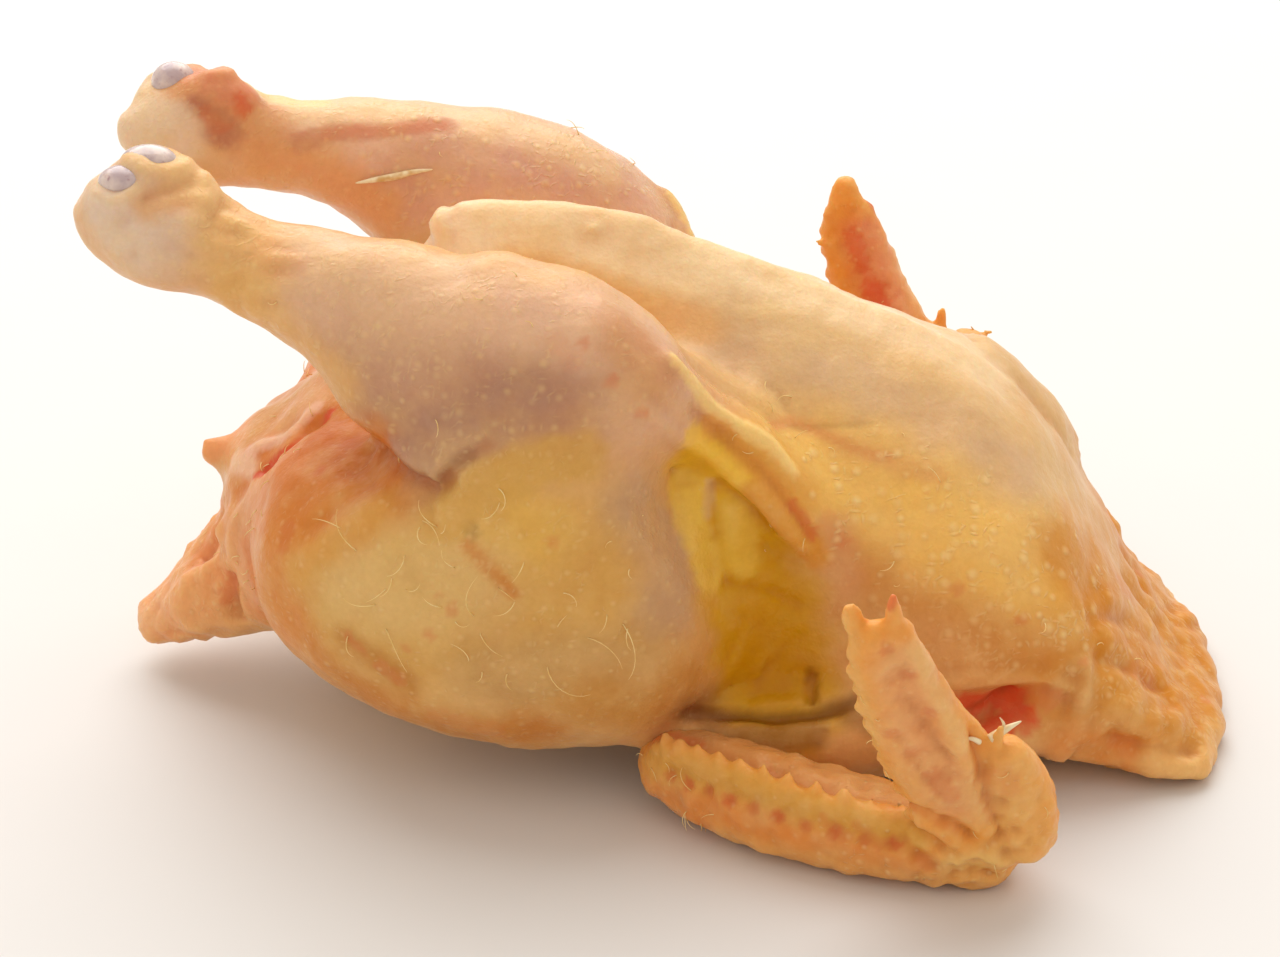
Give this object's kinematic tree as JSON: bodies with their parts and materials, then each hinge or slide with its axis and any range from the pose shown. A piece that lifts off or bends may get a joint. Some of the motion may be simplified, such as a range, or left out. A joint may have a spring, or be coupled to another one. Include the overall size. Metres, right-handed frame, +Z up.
{
  "type": "whole raw chicken",
  "caption": "Whole raw chicken lying on its back: yellow skin, legs drawn up, wings folded with the tips standing, loose neck skin flat on the table.",
  "frame": {"origin": "on the table plane under the middle of the bird's back, where it rests", "axes": "+Z up from the table, +X towards the neck, -X towards the tail, the bird's left side towards -Y"},
  "size_m": [0.2786, 0.2292, 0.152],
  "materials": {
    "skin": "moist raw chicken skin, satin, translucent yellow to pink",
    "cartilage": "wet joint cartilage, glossy blue grey",
    "quill": "pale horn of pin feathers and hair feathers, half translucent"
  },
  "bodies": {
    "root": {"chicken": "skin"}
  },
  "joints": []
}
